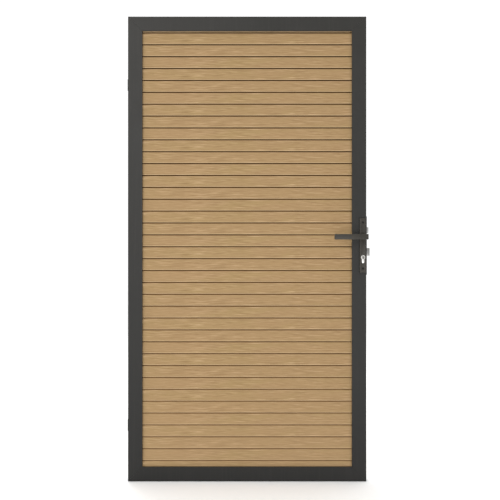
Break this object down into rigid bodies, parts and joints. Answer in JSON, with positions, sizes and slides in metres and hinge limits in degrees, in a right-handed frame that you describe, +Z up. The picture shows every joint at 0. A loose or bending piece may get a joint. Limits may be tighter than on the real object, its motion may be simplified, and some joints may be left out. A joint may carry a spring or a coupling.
{
  "type": "garden gate",
  "caption": "Single garden gate leaf: mitred box-profile frame, horizontal tongue-and-groove boards, lever-handle cylinder lock with latch and deadbolt, lift-off hinges behind the stile.",
  "frame": {"origin": "on the ground line under the middle of the leaf, on the middle plane of its thickness", "axes": "+Z up, +X along the leaf from the hinge side to the lock side as seen from outside, +Y away from the outside face towards the inside"},
  "size_m": [1.0263, 0.164, 1.95],
  "materials": {
    "frame_coating": "anthracite fine-texture powder coat on aluminium profile, satin",
    "hinge_coating": "anthracite powder coat on steel, satin",
    "fitting_coating": "dark grey coated aluminium lock furniture, satin",
    "faceplate_coating": "dark grey powder coated steel, satin",
    "board": "light brown wood-grain board, matt",
    "nickel": "satin nickel plate",
    "zinc_steel": "zinc plated steel",
    "dark_screw": "black oxide steel",
    "stainless": "ground stainless steel",
    "brass_washer": "plain turned brass",
    "cast_aluminium": "as cast",
    "spring_steel": "oiled spring wire"
  },
  "bodies": {
    "post_side": {"hinge_post_half_lower": "hinge_coating", "hinge_post_half_upper": "hinge_coating", "hinge_pin_lower": "stainless", "hinge_pin_upper": "stainless", "hinge_washer_lower": "brass_washer", "hinge_washer_upper": "brass_washer"},
    "leaf": {"hinge_stile": "frame_coating", "lock_stile": "frame_coating", "top_rail": "frame_coating", "bottom_rail": "frame_coating", "corner_cleat_bottom_left": "cast_aluminium", "corner_cleat_bottom_right": "cast_aluminium", "corner_cleat_top_left": "cast_aluminium", "corner_cleat_top_right": "cast_aluminium", "board_01": "board", "board_02": "board", "board_03": "board", "board_04": "board", "board_05": "board", "board_06": "board", "board_07": "board", "board_08": "board", "board_09": "board", "board_10": "board", "board_11": "board", "board_12": "board", "board_13": "board", "hinge_gate_half_lower": "hinge_coating", "hinge_gate_half_upper": "hinge_coating", "hinge_screw_lower_a": "zinc_steel", "hinge_screw_lower_b": "zinc_steel", "hinge_screw_upper_a": "zinc_steel", "hinge_screw_upper_b": "zinc_steel", "lock_case": "zinc_steel", "lock_case_cover": "zinc_steel", "lock_faceplate": "faceplate_coating", "faceplate_screw_upper": "zinc_steel", "faceplate_screw_lower": "zinc_steel", "cylinder_fixing_screw": "zinc_steel", "latch_spring": "spring_steel", "handle_return_spring": "spring_steel", "cylinder_body": "nickel", "backplate_outside": "fitting_coating", "backplate_inside": "fitting_coating", "plate_screw_upper": "dark_screw", "plate_screw_lower": "dark_screw"},
    "handle": {"lever_outside": "fitting_coating", "lever_inside": "fitting_coating", "spindle": "zinc_steel", "follower": "zinc_steel", "lever_grub_screw_outside": "zinc_steel", "lever_grub_screw_inside": "zinc_steel"},
    "latch": {"latch_bolt": "nickel"},
    "deadbolt": {"deadbolt": "nickel"},
    "key_outside": {"cylinder_plug_outside": "nickel", "cylinder_cam": "zinc_steel"},
    "key_inside": {"cylinder_plug_inside": "nickel"}
  },
  "joints": [
    {"name": "gate_swing", "type": "hinge", "parent": "post_side", "child": "leaf", "pos_m": [-0.499, 0.03, 0.25], "axis": [0, 0, 1], "range_deg": [0, 95]},
    {"name": "handle_turn", "type": "hinge", "parent": "leaf", "child": "handle", "pos_m": [0.485, 0, 1.025], "axis": [0, -1, 0], "range_deg": [0, 40], "stiffness_Nm_per_rad": 1.2, "springref_deg": -68.75, "deforming": ["handle_return_spring"]},
    {"name": "latch_slide", "type": "slide", "parent": "leaf", "child": "latch", "axis": [-1, 0, 0], "range_m": [0, 0.009], "deforming": ["latch_spring"]},
    {"name": "deadbolt_slide", "type": "slide", "parent": "leaf", "child": "deadbolt", "axis": [-1, 0, 0], "range_m": [0, 0.013]},
    {"name": "cylinder_turn", "type": "hinge", "parent": "leaf", "child": "key_outside", "pos_m": [0.485, 0, 0.94], "axis": [0, -1, 0], "range_deg": [0, 360]},
    {"name": "inside_plug_turn", "type": "hinge", "parent": "leaf", "child": "key_inside", "pos_m": [0.485, 0, 0.94], "axis": [0, -1, 0], "range_deg": [0, 360]}
  ],
  "couplings": [
    {"joint": "latch_slide", "follows": "handle_turn", "m_per_rad": 0.012892},
    {"joint": "cylinder_turn", "follows": "deadbolt_slide", "rad_per_m": 483.32}
  ]
}
